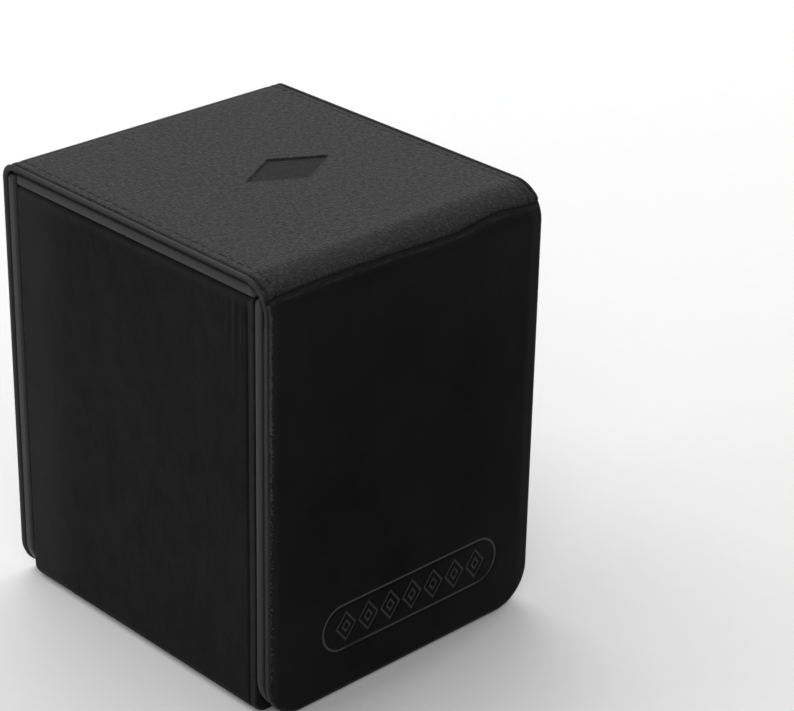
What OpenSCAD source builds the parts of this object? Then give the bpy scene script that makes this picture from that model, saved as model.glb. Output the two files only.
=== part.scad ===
// Card deck box with a fold-over cover: a board tub, a back panel, a top lid and a front flap.
// The lid hinges on a wrapped spine at the back, and the flap hangs from a soft fold at the front.
// Frame: +Z up, the flap faces -Y, origin at the middle of the base.

/* [Overall] */
// Width of the closed box, along X
box_w = 84; // [80:1:100]
// Depth of the closed box, along Y
box_d = 94; // [90:1:130]
// Height of the closed box, along Z
box_h = 110; // [108:1:125]

/* [Cover] */
// Thickness of the outer wrap
wrap_t = 0.5; // [0.4:0.1:0.6]
// Thickness of the outer cover boards
outer_board_t = 1.1; // [1:0.1:1.4]
// Thickness of the inner cover boards
inner_board_t = 2.3; // [2.1:0.1:2.5]
// Thickness of the lining that is folded round the inner boards
lining_t = 0.6; // [0.5:0.1:0.7]
// Thickness of the rounded, padded edges round the cover's boards
edge_t = 1; // [0.8:0.1:1.2]
// Thickness of the padded, napped fabric on the flap's front
flap_nap_t = 1.1; // [0.8:0.1:1.3]
// Outer radius of the soft fold between lid and flap
fold_r = 8.5; // [8:0.5:9]
// Outer radius of the spine between back panel and lid
spine_r = 3.8; // [3.6:0.1:4.2]
// Radius of the flap's two bottom corners
flap_corner_r = 10; // [4:0.5:16]
// Radius of the back panel's two bottom corners
back_corner_r = 8.5; // [4:0.5:16]

/* [Tub] */
// How far the tub's sides sit inside the cover's edges
side_inset = 0.7; // [0.3:0.1:1.5]
// Thickness of the tub's wall and floor boards
wall_t = 3; // [2.5:0.5:4]
// Thickness of the napped fabric on the outside of the tub
nap_t = 0.6; // [0.4:0.1:0.8]
// Thickness of the lining panels inside the tub
liner_t = 1; // [0.8:0.1:1.5]
// Radius of the tub's two long bottom edges
base_edge_r = 3.5; // [3.3:0.1:3.5]

/* [Gaps] */
// Gap between the flap and the tub's front
flap_gap = 0.5; // [0.4:0.1:1]
// Gap between the lid and the tub's rim
lid_gap = 0.3; // [0.2:0.1:0.6]
// Height of the cover's bottom edges above the surface that the tub stands on
cover_lift = 0.4; // [0.3:0.1:1]

/* [Magnets] */
// Diameter of each closure magnet
magnet_d = 10; // [6:1:14]
// Thickness of each closure magnet
magnet_t = 1.5; // [1:0.1:1.8]
// Distance between the two magnets in a row
magnet_pitch = 46; // [30:1:50]
// Height of the magnets above the base
magnet_z = 40; // [30:1:70]

/* [Pressed marks] */
// Depth of the pressed marks
mark_depth = 0.25; // [0.1:0.05:0.3]
// Length of the diamond pressed into the lid
diamond_l = 26; // [10:1:40]
// Width of the diamond pressed into the lid
diamond_w = 15; // [8:1:30]
// Length of the rounded outline pressed into the flap
outline_l = 57; // [30:1:60]
// Height of the rounded outline pressed into the flap
outline_h = 12.6; // [8:0.2:16]

/* [Hidden] */
$fn = 96;

// A cut runs this far past a face
past = 1;
// The inner layer of the cover is this much narrower on each side than the outer one
layer_step = 0.2;
// Running gap where the inner layers of two cover panels meet
layer_gap = 0.3;
// The inner boards reach this far into the fold, and their lining fills the rest
board_reach = 1;
// Clear space round a magnet in its pocket
pocket_gap = 0.1;
// Width of the pressed line round the outline
outline_line = 0.9;
// Middle of the diamond on the lid, and of the outline on the flap
diamond_at = [5, 0];
outline_at = [2.5, 17.3];

// Cover layers, counted inwards from the outside of the box
outer_t = wrap_t + outer_board_t;
inner_t = inner_board_t + lining_t;
half_w = box_w / 2;
half_d = box_d / 2;
inner_half_w = half_w - layer_step;
// The planes where the outer and inner layers meet
back_mid = half_d - outer_t;
flap_mid = -half_d + flap_nap_t + outer_board_t;
lid_mid = box_h - outer_t;
// Y of the back panel's inside and of the flap's inside, and Z of the lid's underside
back_in = back_mid - inner_t;
flap_in = flap_mid + inner_t;
lid_in = lid_mid - inner_t;
// Centres of the spine's and the fold's bends, as [y, z]
spine_at = [half_d - spine_r, box_h - spine_r];
fold_at = [-half_d + fold_r, box_h - fold_r];
// The inner layers stay inside the bends by this clearance
bend_clear = 0.2;
// The back panel's inner layer ends below the spine's lining
back_inner_top = lid_mid - 0.8;

// Tub
tub_half_w = half_w - side_inset;
tub_front = flap_in + flap_gap;
tub_back = back_in;
rim_z = lid_in - lid_gap;
board_half_w = tub_half_w - nap_t;
wall_in = board_half_w - wall_t;
cavity_half_w = wall_in - liner_t;
front_wall_in = tub_front + nap_t + wall_t;
back_wall_in = tub_back - wall_t;
floor_z = nap_t + wall_t;
board_top = rim_z - nap_t;
pocket_r = magnet_d / 2 + pocket_gap;
pocket_t = magnet_t + pocket_gap;

// ---- shapes ----

// A box between two opposite corners
module block(low, high) {
    translate(low) cube(high - low);
}

// A flat outline in X and Z, made solid between two values of Y
module upright(y0, y1) {
    translate([0, y1, 0]) rotate([90, 0, 0]) linear_extrude(y1 - y0) children();
}

// A section in Y and Z, made solid across the box to +-half
module across(half) {
    translate([-half, 0, 0]) rotate([90, 0, 90]) linear_extrude(2 * half) children();
}

// A rectangle, +-half wide from z0 to z1, with its two bottom corners rounded
module panel_outline(half, z0, z1, r) {
    translate([-half, z0 + r]) square([2 * half, z1 - z0 - r]);
    translate([-half + r, z0]) square([2 * half - 2 * r, r]);
    for (side = [-1, 1]) translate([side * (half - r), z0 + r]) circle(r);
}

// A stadium lying along its first axis
module stadium(l, h) {
    square([l - h, h], center = true);
    for (side = [-1, 1]) translate([side * (l - h) / 2, 0]) circle(h / 2);
}

// A quarter ring in Y and Z round a bend; toward is +1 at the back and -1 at the front
module quarter_ring(at, r, t, toward) {
    translate(at) intersection() {
        difference() {
            circle(r);
            circle(r - t);
        }
        translate([toward > 0 ? 0 : -r - past, 0]) square([r + past, r + past]);
    }
}

// The pair of closure magnets, or their pockets, starting at y0 and going towards +Y
module magnet_pair(y0, r, t) {
    for (side = [-1, 1])
        translate([side * magnet_pitch / 2, y0, magnet_z]) rotate([-90, 0, 0]) cylinder(r = r, h = t);
}

// Section of the lid's inner layer: flat, with its front end rounded under the fold and
// cut on the mitre that it shares with the flap
module lid_inner_section(z0, z1) {
    difference() {
        union() {
            translate([fold_at[0], z0]) square([back_in - layer_gap - fold_at[0], z1 - z0]);
            intersection() {
                translate([-half_d, z0]) square([fold_at[0] + half_d, z1 - z0]);
                translate(fold_at) circle(fold_r - wrap_t - lining_t - bend_clear);
            }
        }
        mitre_cut(1);
    }
}

// Section of the flap's inner layer, the mirror of the lid's about the mitre
module flap_inner_section(y0, y1, z0) {
    difference() {
        union() {
            translate([y0, z0]) square([y1 - y0, fold_at[1] - z0]);
            intersection() {
                translate([y0, fold_at[1]]) square([y1 - y0, fold_r]);
                translate(fold_at) circle(fold_r - wrap_t - lining_t - bend_clear);
            }
        }
        mitre_cut(-1);
    }
}

// Everything on the far side of the mitre line, which runs through the cover's inside corner;
// side is +1 to trim the lid and -1 to trim the flap
module mitre_cut(side) {
    reach = 3 * fold_r;
    translate([flap_in, lid_in]) rotate(45)
        translate([side > 0 ? -reach + layer_gap / 2 : -layer_gap / 2, -reach / 2])
            square([reach, reach]);
}

// ---- tub ----

// Napped fabric in one piece: left side, base and right side, turned in over the rims
module tub_side_wrap() {
    color("#202021") upright(tub_front, tub_back) difference() {
        panel_outline(tub_half_w, 0, rim_z, base_edge_r);
        panel_outline(board_half_w, nap_t, board_top, base_edge_r - nap_t);
        translate([-wall_in, floor_z]) square([2 * wall_in, rim_z]);
    }
}

// Napped fabric on the front wall, turned in over its rim
module tub_front_wrap() {
    color("#202021") {
        upright(tub_front, tub_front + nap_t)
            panel_outline(board_half_w, nap_t, board_top, base_edge_r - nap_t);
        block([-wall_in, tub_front, board_top], [wall_in, front_wall_in, rim_z]);
    }
}

module floor_board() {
    color("#8a857c") upright(tub_front + nap_t, tub_back) intersection() {
        panel_outline(board_half_w, nap_t, rim_z, base_edge_r - nap_t);
        translate([-board_half_w, nap_t]) square([2 * board_half_w, wall_t]);
    }
}

// One side wall's board; side is -1 for left and +1 for right
module side_wall_board(side) {
    low = side < 0 ? -board_half_w : wall_in;
    color("#8a857c")
        block([low, tub_front + nap_t, floor_z], [low + wall_t, tub_back, board_top]);
}

module left_wall_board() {
    side_wall_board(-1);
}

module right_wall_board() {
    side_wall_board(1);
}

// The front wall's board, with the magnets' pockets in its outer face
module front_wall_board() {
    color("#8a857c") difference() {
        block([-wall_in, tub_front + nap_t, floor_z], [wall_in, front_wall_in, board_top]);
        magnet_pair(tub_front + nap_t - past, pocket_r, past + pocket_t);
    }
}

module back_wall_board() {
    color("#8a857c") block([-wall_in, back_wall_in, floor_z], [wall_in, tub_back, board_top]);
}

// One side's lining panel; side is -1 for left and +1 for right
module side_liner(side) {
    low = side < 0 ? -wall_in : cavity_half_w;
    color("#2a2a2c") block([low, front_wall_in, floor_z], [low + liner_t, back_wall_in, rim_z]);
}

module left_liner() {
    side_liner(-1);
}

module right_liner() {
    side_liner(1);
}

module front_liner() {
    color("#2a2a2c") block([-cavity_half_w, front_wall_in, floor_z],
                           [cavity_half_w, front_wall_in + liner_t, rim_z]);
}

// The back's lining panel, turned over the back wall's rim
module back_liner() {
    color("#2a2a2c") {
        block([-cavity_half_w, back_wall_in - liner_t, floor_z], [cavity_half_w, back_wall_in, rim_z]);
        block([-cavity_half_w, back_wall_in, board_top], [cavity_half_w, tub_back, rim_z]);
    }
}

module floor_liner() {
    color("#2a2a2c") block([-cavity_half_w, front_wall_in + liner_t, floor_z],
                           [cavity_half_w, back_wall_in - liner_t, floor_z + liner_t]);
}

module tub_magnets() {
    color("#c9cacc") magnet_pair(tub_front + nap_t, magnet_d / 2, magnet_t);
}

// ---- back panel ----

// Outline of the back panel's inner board, inside its lining
module back_board_outline() {
    panel_outline(inner_half_w - edge_t, cover_lift + 2 * layer_step + edge_t,
                  back_inner_top - edge_t, back_corner_r - layer_step - edge_t);
}

module back_inner_board() {
    color("#8a857c") upright(back_in + lining_t, back_mid) back_board_outline();
}

// Lining over the inside face and the edges of the back panel's inner board
module back_lining() {
    color("#3c3d40") difference() {
        upright(back_in, back_mid)
            panel_outline(inner_half_w, cover_lift + 2 * layer_step, back_inner_top,
                          back_corner_r - layer_step);
        upright(back_in + lining_t, back_mid + past) back_board_outline();
    }
}

// Outline of the back panel's outer board, inside its wrap
module back_outer_outline() {
    panel_outline(half_w - edge_t, cover_lift + edge_t, spine_at[1], back_corner_r - edge_t);
}

module back_outer_board() {
    color("#8a857c") upright(back_mid, half_d - wrap_t) back_outer_outline();
}

// Leatherette over the outside face and the edges of the back panel
module back_wrap() {
    color("#47484b") difference() {
        upright(back_mid, half_d) panel_outline(half_w, cover_lift, spine_at[1], back_corner_r);
        upright(back_mid - past, half_d - wrap_t) back_outer_outline();
    }
}

// ---- spine, where the lid hinges ----

module spine_wrap() {
    color("#47484b") across(half_w) quarter_ring(spine_at, spine_r, wrap_t, 1);
}

module spine_lining() {
    color("#3c3d40") across(inner_half_w) quarter_ring(spine_at, spine_r - wrap_t, wrap_t, 1);
}

// ---- lid ----

// Leatherette over the top face and the two side edges of the lid, with the pressed diamond
module lid_wrap() {
    color("#47484b") difference() {
        block([-half_w, fold_at[0], lid_mid], [half_w, spine_at[0], box_h]);
        block([-half_w + edge_t, fold_at[0] - past, lid_mid - past],
              [half_w - edge_t, spine_at[0] + past, box_h - wrap_t]);
        translate([diamond_at[0], diamond_at[1], box_h - mark_depth]) linear_extrude(past)
            polygon([[diamond_l / 2, 0], [0, diamond_w / 2], [-diamond_l / 2, 0], [0, -diamond_w / 2]]);
    }
}

module lid_outer_board() {
    color("#8a857c") block([-half_w + edge_t, fold_at[0], lid_mid],
                           [half_w - edge_t, spine_at[0], box_h - wrap_t]);
}

// The lid's inner board up to a given height, inside its lining
module lid_inner_board_shape(top) {
    block([-inner_half_w + edge_t, fold_at[0] - board_reach, lid_in + lining_t],
          [inner_half_w - edge_t, back_in - layer_gap - edge_t, top]);
}

module lid_inner_board() {
    color("#8a857c") lid_inner_board_shape(lid_mid);
}

// Lining over the underside and the edges of the lid's inner board
module lid_lining() {
    color("#3c3d40") difference() {
        across(inner_half_w) lid_inner_section(lid_in, lid_mid);
        lid_inner_board_shape(lid_mid + past);
    }
}

// ---- fold, where the flap hangs from the lid ----

module fold_wrap() {
    color("#47484b") across(half_w) quarter_ring(fold_at, fold_r, wrap_t, -1);
}

module fold_lining() {
    color("#3c3d40") across(inner_half_w) quarter_ring(fold_at, fold_r - wrap_t, lining_t, -1);
}

// ---- flap ----

// Outline of the flap's outer board, inside its wrap
module flap_outer_outline() {
    panel_outline(half_w - edge_t, cover_lift + edge_t, fold_at[1], flap_corner_r - edge_t);
}

// Napped fabric over the front face and the edges of the flap, with the pressed outline
module flap_wrap() {
    color("#151516") difference() {
        upright(-half_d, flap_mid) panel_outline(half_w, cover_lift, fold_at[1], flap_corner_r);
        upright(-half_d + flap_nap_t, flap_mid + past) flap_outer_outline();
        upright(-half_d - past, -half_d + mark_depth) translate(outline_at) difference() {
            stadium(outline_l, outline_h);
            stadium(outline_l - 2 * outline_line, outline_h - 2 * outline_line);
        }
    }
}

module flap_outer_board() {
    color("#8a857c") upright(-half_d + flap_nap_t, flap_mid) flap_outer_outline();
}

// The flap's inner board from a given front plane back, inside its lining
module flap_inner_board_shape(front) {
    upright(front, flap_in - lining_t)
        panel_outline(inner_half_w - edge_t, cover_lift + 2 * layer_step + edge_t,
                      fold_at[1] + board_reach, flap_corner_r - layer_step - edge_t);
}

module flap_inner_board() {
    color("#8a857c") difference() {
        flap_inner_board_shape(flap_mid);
        magnet_pair(flap_in - lining_t - pocket_t, pocket_r, pocket_t + past);
    }
}

// Lining over the inside face and the edges of the flap's inner board
module flap_lining() {
    color("#3c3d40") difference() {
        intersection() {
            across(inner_half_w)
                flap_inner_section(flap_mid, flap_in, cover_lift + 2 * layer_step);
            upright(flap_mid - past, flap_in + past)
                panel_outline(inner_half_w, cover_lift + 2 * layer_step, box_h,
                              flap_corner_r - layer_step);
        }
        flap_inner_board_shape(flap_mid - past);
    }
}

module flap_magnets() {
    color("#c9cacc") magnet_pair(flap_in - lining_t - magnet_t, magnet_d / 2, magnet_t);
}

tub_side_wrap();
tub_front_wrap();
floor_board();
left_wall_board();
right_wall_board();
front_wall_board();
back_wall_board();
left_liner();
right_liner();
front_liner();
back_liner();
floor_liner();
tub_magnets();
back_inner_board();
back_lining();
back_outer_board();
back_wrap();
spine_wrap();
spine_lining();
lid_wrap();
lid_outer_board();
lid_inner_board();
lid_lining();
fold_wrap();
fold_lining();
flap_wrap();
flap_outer_board();
flap_inner_board();
flap_lining();
flap_magnets();
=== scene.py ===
"""Looks of the card deck box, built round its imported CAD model."""
import math

import bmesh
import bpy
import numpy as np
from mathutils import Matrix, Vector


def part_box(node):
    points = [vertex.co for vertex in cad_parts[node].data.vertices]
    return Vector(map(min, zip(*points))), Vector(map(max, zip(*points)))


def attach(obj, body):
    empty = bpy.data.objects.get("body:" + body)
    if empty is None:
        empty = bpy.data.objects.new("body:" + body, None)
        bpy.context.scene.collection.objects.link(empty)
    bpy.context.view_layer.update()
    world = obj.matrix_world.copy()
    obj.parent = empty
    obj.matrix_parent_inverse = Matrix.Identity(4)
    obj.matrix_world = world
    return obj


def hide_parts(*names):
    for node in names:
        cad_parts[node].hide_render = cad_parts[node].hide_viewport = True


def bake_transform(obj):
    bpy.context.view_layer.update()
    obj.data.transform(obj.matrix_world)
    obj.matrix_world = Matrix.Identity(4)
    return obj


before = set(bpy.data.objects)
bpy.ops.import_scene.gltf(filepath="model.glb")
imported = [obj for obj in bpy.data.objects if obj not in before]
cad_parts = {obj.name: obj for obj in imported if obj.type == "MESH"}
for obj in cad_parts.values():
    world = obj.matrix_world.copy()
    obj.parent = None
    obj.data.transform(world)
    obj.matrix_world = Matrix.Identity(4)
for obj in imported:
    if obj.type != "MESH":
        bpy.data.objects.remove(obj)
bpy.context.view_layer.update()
MM = 0.001


def span(node):
    """Lowest and highest corner of a CAD node, in millimetres."""
    low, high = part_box(node)
    return np.array(low) / MM, np.array(high) / MM


# ---------------------------------------------------------------- camera and light

camera = bpy.data.objects.new("camera", bpy.data.cameras.new("camera"))
bpy.context.scene.collection.objects.link(camera)
bpy.context.scene.camera = camera
azimuth, elevation, roll = math.radians(-44.27), math.radians(26.12), math.radians(1.2)
back = Vector((math.sin(azimuth) * math.cos(elevation),
               -math.cos(azimuth) * math.cos(elevation), math.sin(elevation)))
right = Vector((0, 0, 1)).cross(back).normalized()
up = back.cross(right)
turned_right = math.cos(roll) * right + math.sin(roll) * up
turned_up = math.cos(roll) * up - math.sin(roll) * right
camera.matrix_world = (Matrix.Translation((-0.364200, -0.416259, 0.334843))
                       @ Matrix((turned_right, turned_up, back)).transposed().to_4x4())
camera.data.sensor_width = 36
camera.data.lens = 117.12
camera.data.clip_start, camera.data.clip_end = 0.01, 50


def lamp(name, place, aim, size, power):
    """A soft rectangular lamp pointed at aim."""
    data = bpy.data.lights.new(name, "AREA")
    data.shape, data.size, data.size_y = "RECTANGLE", size[0], size[1]
    data.energy = power
    lit = bpy.data.objects.new(name, data)
    bpy.context.scene.collection.objects.link(lit)
    lit.location = place
    lit.rotation_euler = (Vector(aim) - Vector(place)).to_track_quat("-Z", "Y").to_euler()


world = bpy.data.worlds.new("studio")
bpy.context.scene.world = world
world.use_nodes = True
world.node_tree.nodes["Background"].inputs["Color"].default_value = (1, 1, 1, 1)
world.node_tree.nodes["Background"].inputs["Strength"].default_value = 0.3
bpy.context.scene.view_settings.view_transform = "Standard"
lamp("top_softbox", (0.05, 0.45, 0.95), (0, 0, 0.05), (1.3, 1.1), 8)
lamp("sheen_softbox", (0.75, 0.8, 0.5), (0, 0, 0.08), (0.9, 0.4), 0.9)
lamp("left_softbox", (-0.95, 0.75, 0.4), (0, 0, 0.06), (0.4, 0.8), 2.6)
lamp("right_softbox", (0.95, 0.1, 0.3), (0, 0, 0.06), (0.2, 0.8), 2.0)
lamp("front_softbox", (-0.85, -0.95, 0.9), (0, 0, 0.05), (0.9, 0.9), 5.5)

# ---------------------------------------------------------------- materials


class Graph:
    """Short calls for a material's nodes."""

    def __init__(self, name):
        self.material = bpy.data.materials.new(name)
        self.material.use_nodes = True
        self.tree = self.material.node_tree
        self.shader = self.tree.nodes["Principled BSDF"]

    def node(self, kind, inputs=None, out=0, **settings):
        made = self.tree.nodes.new("ShaderNode" + kind)
        for key, value in settings.items():
            setattr(made, key, value)
        for key, value in (inputs or {}).items():
            self.put(made.inputs[key], value)
        return made.outputs[out]

    def put(self, socket, value):
        if isinstance(value, bpy.types.NodeSocket):
            self.tree.links.new(value, socket)
        else:
            socket.default_value = value

    def maths(self, operation, a, b=0.0, c=0.0):
        return self.node("Math", {0: a, 1: b, 2: c}, operation=operation)

    def sheet(self, scale):
        """The piece's own surface coordinates, in millimetres, times scale."""
        uv = self.node("UVMap", uv_map="Sheet")
        return self.node("Mapping", {"Vector": uv, "Scale": scale})

    def noise(self, vector, scale, detail=2.0, roughness=0.5):
        return self.node("TexNoise", {"Vector": vector, "Scale": scale, "Detail": detail,
                                      "Roughness": roughness})

    def ramp(self, value, low, high, to_low=0.0, to_high=1.0):
        return self.node("MapRange", {"Value": value, "From Min": low, "From Max": high,
                                      "To Min": to_low, "To Max": to_high})

    def blend(self, share, a, b):
        return self.node("Mix", {0: share, 6: a, 7: b}, out=2, data_type="RGBA")

    def stitches(self, away, pitch):
        """Short marks in a row, as far as away from the middle of the sheet on both sides."""
        across = self.node("SeparateXYZ", {0: self.node("UVMap", uv_map="Sheet")})
        along = across.node.outputs[1]
        off = self.maths("ABSOLUTE", self.maths("SUBTRACT", self.maths("ABSOLUTE", across), away))
        beat = self.maths("SINE", self.maths("MULTIPLY", along, 2 * math.pi / pitch))
        return self.maths("MULTIPLY", self.ramp(off, 0.18, 0.42, 1, 0), self.ramp(beat, 0.0, 0.4))

    def pressed(self):
        """How far each point is pressed, or carries painted shade or painted highlight, from 0 to 1, as
        panel() and fuzz() store it.
        """
        return self.node("Attribute", out=2, attribute_name="pressed")

    def finish(self, colour, roughness, height, depth_mm, **constants):
        """Fills the shader; constants are set on its own sockets."""
        self.put(self.shader.inputs["Base Color"], colour)
        self.put(self.shader.inputs["Roughness"], roughness)
        bump = self.node("Bump", {"Strength": 1.0, "Distance": depth_mm * MM, "Height": height})
        self.put(self.shader.inputs["Normal"], bump)
        for key, value in constants.items():
            self.put(self.shader.inputs[key.replace("_", " ")], value)
        return self.material


def tone(level, blue=None):
    """A grey, with its blue given apart where it is a little cooler."""
    return (level, level, level if blue is None else blue, 1)


def times(colour, factor):
    """A colour made lighter or darker by factor."""
    return tuple(factor * c for c in colour[:3]) + (1,)


STITCH_AWAY, STITCH_PITCH = 38.5, 3.05  # from the cover's middle, and along its edge


def leatherette(name, dark, light, depth, rough, specular):
    """Leatherette embossed like linen: short, uneven crossed threads over a fine pore."""
    g = Graph(name)
    along = g.noise(g.sheet((0.65, 1.7, 1)), 1.0, 2.0, 0.65)
    across = g.noise(g.sheet((1.7, 0.65, 1)), 1.0, 2.0, 0.65)
    threads = g.maths("MAXIMUM", along, across)
    pores = g.noise(g.sheet((1, 1, 1)), 3.4, 1.0)
    height = g.maths("MULTIPLY_ADD", pores, 0.4, threads)
    stitch = g.stitches(STITCH_AWAY, STITCH_PITCH)
    patches = g.noise(g.sheet((1, 1, 1)), 0.05, 3.0)
    share = g.maths("MULTIPLY_ADD", patches, 0.35, g.ramp(height, 0.66, 0.95, -0.3, 1.0))
    colour = g.blend(g.ramp(share, 0.0, 1.0), dark, light)
    colour = g.blend(g.maths("MULTIPLY", stitch, 0.8), colour, times(dark, 0.5))
    pressed = g.pressed()
    # darker and smoother where this is set: the pressed diamond and edge groove, and painted shade from the
    # fold on
    colour = g.blend(pressed, colour, times(dark, 1.4))
    smooth = g.maths("MULTIPLY_ADD", pressed, -0.8, 1.0)
    roughness = g.maths("MULTIPLY_ADD", pressed, 0.2, g.ramp(height, 0.6, 1.0, rough + 0.12, rough - 0.1))
    height = g.maths("MULTIPLY_ADD", stitch, -0.7, g.maths("MULTIPLY", height, smooth))
    return g.finish(colour, roughness, height, depth, Specular_IOR_Level=specular)


def smooth_leather(name, dark, light, depth, rough, specular):
    """The same leatherette where it is stretched round an edge: fine pores and slight ripples, and near-black
    painted shade in the crevices between layers.
    """
    g = Graph(name)
    pores = g.noise(g.sheet((1, 1, 1)), 2.6, 3.0, 0.6)
    ripples = g.noise(g.sheet((0.25, 0.12, 1)), 1.0, 2.0)
    height = g.maths("MULTIPLY_ADD", ripples, 1.5, pores)
    painted_crevice_shade = g.pressed()
    colour = g.blend(g.ramp(pores, 0.35, 0.7), dark, light)
    # painted shade, near black, where layers meet
    colour = g.blend(painted_crevice_shade, colour, tone(0.001))
    roughness = g.maths("MULTIPLY_ADD", painted_crevice_shade, 0.4, g.ramp(pores, 0.3, 0.7, rough + 0.08, rough - 0.06))
    return g.finish(colour, roughness, height, depth, Specular_IOR_Level=specular)


def nap(name, dark, light, depth, patch_scale, sheen, specular):
    """Napped fabric: short fibres, brushed into lighter and darker patches, and lighter and smoother where
    pressed is set: pressed lines, painted highlights, and the tub sides' lighter back.
    """
    g = Graph(name)
    flat = g.sheet((1, 1, 1))
    brushed = g.noise(g.sheet((1.6, 1.0, 1)), patch_scale, 4.0, 0.6)
    cloud = g.noise(flat, patch_scale * 0.3, 2.0)
    fibres = g.noise(flat, 3.2, 3.0, 0.7)
    share = g.maths("MULTIPLY_ADD", brushed, 0.6, g.maths("MULTIPLY", cloud, 0.4))
    share = g.maths("MULTIPLY_ADD", g.maths("SUBTRACT", fibres, 0.5), 0.6, share)
    colour = g.blend(g.ramp(share, 0.36, 0.62), dark, light)
    painted_highlight_and_marks = g.pressed()
    # painted highlight: the colour is lifted towards sixteen times the light tone
    colour = g.blend(painted_highlight_and_marks, colour, times(light, 16))
    height = g.maths("MULTIPLY_ADD", brushed, 2.0, fibres)
    roughness = g.maths("MULTIPLY_ADD", painted_highlight_and_marks, -0.35, g.ramp(fibres, 0.3, 0.7, 0.95, 0.82))
    return g.finish(colour, roughness, height, depth,
                    Specular_IOR_Level=specular, Sheen_Weight=sheen, Sheen_Roughness=0.45)


def object_mm(g):
    """The object's own coordinates, in millimetres."""
    place = g.node("TexCoord", out=3)
    return g.node("Mapping", {"Vector": place, "Scale": (1000, 1000, 1000)})


def greyboard():
    """Pulp board: matted fibres with flecks."""
    g = Graph("greyboard")
    place = object_mm(g)
    fibres = g.noise(place, 1.4, 4.0, 0.7)
    flecks = g.node("TexVoronoi", {"Vector": place, "Scale": 0.8})
    colour = g.blend(g.ramp(fibres, 0.3, 0.7), (0.20, 0.185, 0.16, 1), (0.33, 0.31, 0.275, 1))
    height = g.maths("MULTIPLY_ADD", flecks, 0.3, fibres)
    return g.finish(colour, g.ramp(fibres, 0.3, 0.7, 0.95, 0.85), height, 0.1)


def nickel():
    """The magnets' plating, brushed along one axis."""
    g = Graph("nickel")
    place = object_mm(g)
    brushed = g.noise(g.node("Mapping", {"Vector": place, "Scale": (0.3, 3, 3)}), 1.0, 3.0)
    colour = g.blend(g.ramp(brushed, 0.3, 0.7), (0.55, 0.54, 0.52, 1), (0.68, 0.67, 0.65, 1))
    return g.finish(colour, g.ramp(brushed, 0.3, 0.7, 0.32, 0.2), brushed, 0.02, Metallic=1.0)


LEATHER = leatherette("leatherette", tone(0.0025, 0.0026), tone(0.032, 0.0335),
                      depth=0.6, rough=0.52, specular=0.3)
EDGE = smooth_leather("leatherette_edge", tone(0.008, 0.0084), tone(0.016, 0.0168),
                      depth=0.05, rough=0.5, specular=0.35)
SUEDE = nap("napped_fabric", tone(0.0024), tone(0.0066, 0.0068),
            depth=0.12, patch_scale=0.11, sheen=0.045, specular=0.08)
FLAP_NAP = nap("flap_nap", tone(0.0024), tone(0.0056, 0.0058),
               depth=0.08, patch_scale=0.05, sheen=0.033, specular=0.05)
LINING = nap("cavity_lining", tone(0.005, 0.0054), tone(0.012, 0.0125),
             depth=0.06, patch_scale=0.15, sheen=0.08, specular=0.1)
BOARD = greyboard()
METAL = nickel()

# ---------------------------------------------------------------- mesh tools


def smoothstep(value, low, high):
    """0 below low, 1 above high, and a smooth rise between them."""
    t = np.clip((np.asarray(value, float) - low) / (high - low), 0, 1)
    return t * t * (3 - 2 * t)


def hump(value, width):
    """1 where value is 0, fading over width on both sides."""
    return np.exp(-(value / width) ** 2)


def steps(*stops):
    """A rising list of numbers: start, then (end, spacing) pairs."""
    values = [float(stops[0])]
    for end, spacing in stops[1:]:
        count = max(1, round((end - values[-1]) / spacing))
        values += list(values[-1] + (end - values[-1]) * (np.arange(count) + 1) / count)
    return np.array(values)


def arc(start, end, count):
    """Evenly spaced angles, given in degrees, in radians."""
    return np.radians(np.linspace(start, end, count))


def object_from(name, points, faces, uv, materials, face_material=None, flat_faces=()):
    """A shaded mesh object from points in millimetres; uv holds each point's surface coordinates."""
    mesh = bpy.data.meshes.new(name)
    mesh.from_pydata((np.asarray(points) * MM).tolist(), [], [list(map(int, f)) for f in faces])
    mesh.update()
    layer = mesh.uv_layers.new(name="Sheet")
    loops = np.zeros(len(mesh.loops), np.int32)
    mesh.loops.foreach_get("vertex_index", loops)
    layer.data.foreach_set("uv", np.asarray(uv, np.float32)[loops].ravel())
    mesh.polygons.foreach_set("use_smooth", np.ones(len(mesh.polygons), bool))
    for index in flat_faces:
        mesh.polygons[index].use_smooth = False
    for material in materials:
        mesh.materials.append(material)
    if face_material is not None:
        mesh.polygons.foreach_set("material_index", np.asarray(face_material, np.int32))
    made = bpy.data.objects.new(name, mesh)
    bpy.context.scene.collection.objects.link(made)
    return made


def solidify(made, thickness):
    """Gives an open skin its thickness, inwards."""
    shell = made.modifiers.new("shell", "SOLIDIFY")
    shell.thickness, shell.offset = thickness * MM, -1
    shell.use_quality_normals = True
    bpy.context.view_layer.update()
    done = bpy.data.meshes.new_from_object(made.evaluated_get(bpy.context.evaluated_depsgraph_get()))
    made.modifiers.clear()
    old, made.data = made.data, done
    bpy.data.meshes.remove(old)
    done.name = made.name
    return made


def face_columns(half, inset, tight, columns):
    """Where a face's lines lie across it: close together round its corners, and at columns between them."""
    bend = np.array([half - inset])
    if tight > inset:
        bend = (half - tight) + (tight - inset) * np.sin(arc(0, 90, 10))
    xs = np.concatenate([-bend, bend])
    apart = 0.05
    more = [c for c in columns if abs(c) < half - inset - apart and np.min(np.abs(xs - c)) > apart]
    return np.sort(np.concatenate([xs, more]))


def boundary(cell, corners):
    """A face's edge points, clockwise with s upwards: one closed chain, an open one, or the two sides."""
    left, top, side, bottom = cell[0, :], cell[:, -1], cell[-1, ::-1], cell[::-1, 0]
    if corners[0] is None and corners[1] is None:
        return [left, side]
    if corners[0] is None:
        return [np.concatenate([left, top[1:], side[1:]])]
    if corners[1] is None:
        return [np.concatenate([side, bottom[1:], left[1:]])]
    return [np.concatenate([left, top[1:], side[1:], bottom[1:-1]])]


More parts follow.
